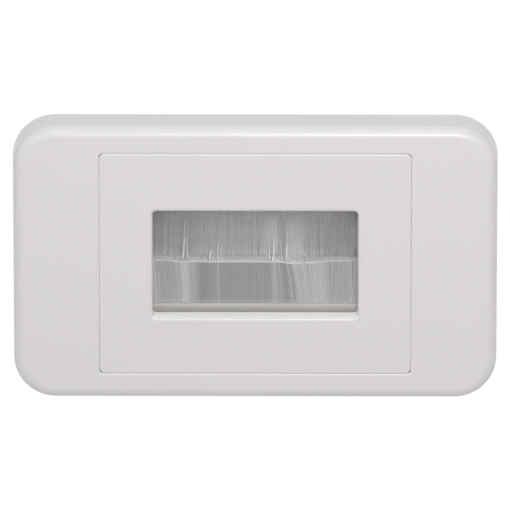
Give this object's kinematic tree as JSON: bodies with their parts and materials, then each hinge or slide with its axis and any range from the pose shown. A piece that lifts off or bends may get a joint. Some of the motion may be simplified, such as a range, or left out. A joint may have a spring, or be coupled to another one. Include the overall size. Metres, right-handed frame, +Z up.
{
  "type": "brush wall plate",
  "caption": "Landscape wall plate with a clip-on cover frame and a rectangular opening closed by overlapping strip brushes that cables pass through.",
  "frame": {"origin": "midway between the two fixing slots, on the wall plane (the flange's back face)", "axes": "+X along the plate to the right as seen from the front, +Z up, +Y into the wall, so the face looks along -Y"},
  "size_m": [0.117, 0.0177, 0.07],
  "materials": {
    "white_plastic": "satin-gloss white moulding",
    "retainer_plastic": "plain white moulding",
    "channel_metal": "rolled strip, mill finish",
    "core_steel": "drawn wire",
    "nylon": "clear nylon filaments",
    "screw_steel": "zinc plated"
  },
  "bodies": {
    "root": {"cover_frame": "white_plastic", "mounting_plate": "white_plastic", "brush_retainer": "retainer_plastic", "upper_channel": "channel_metal", "lower_channel": "channel_metal", "upper_core_wire": "core_steel", "lower_core_wire": "core_steel", "upper_bristles": "nylon", "lower_bristles": "nylon", "retainer_screws": "screw_steel"}
  },
  "joints": []
}
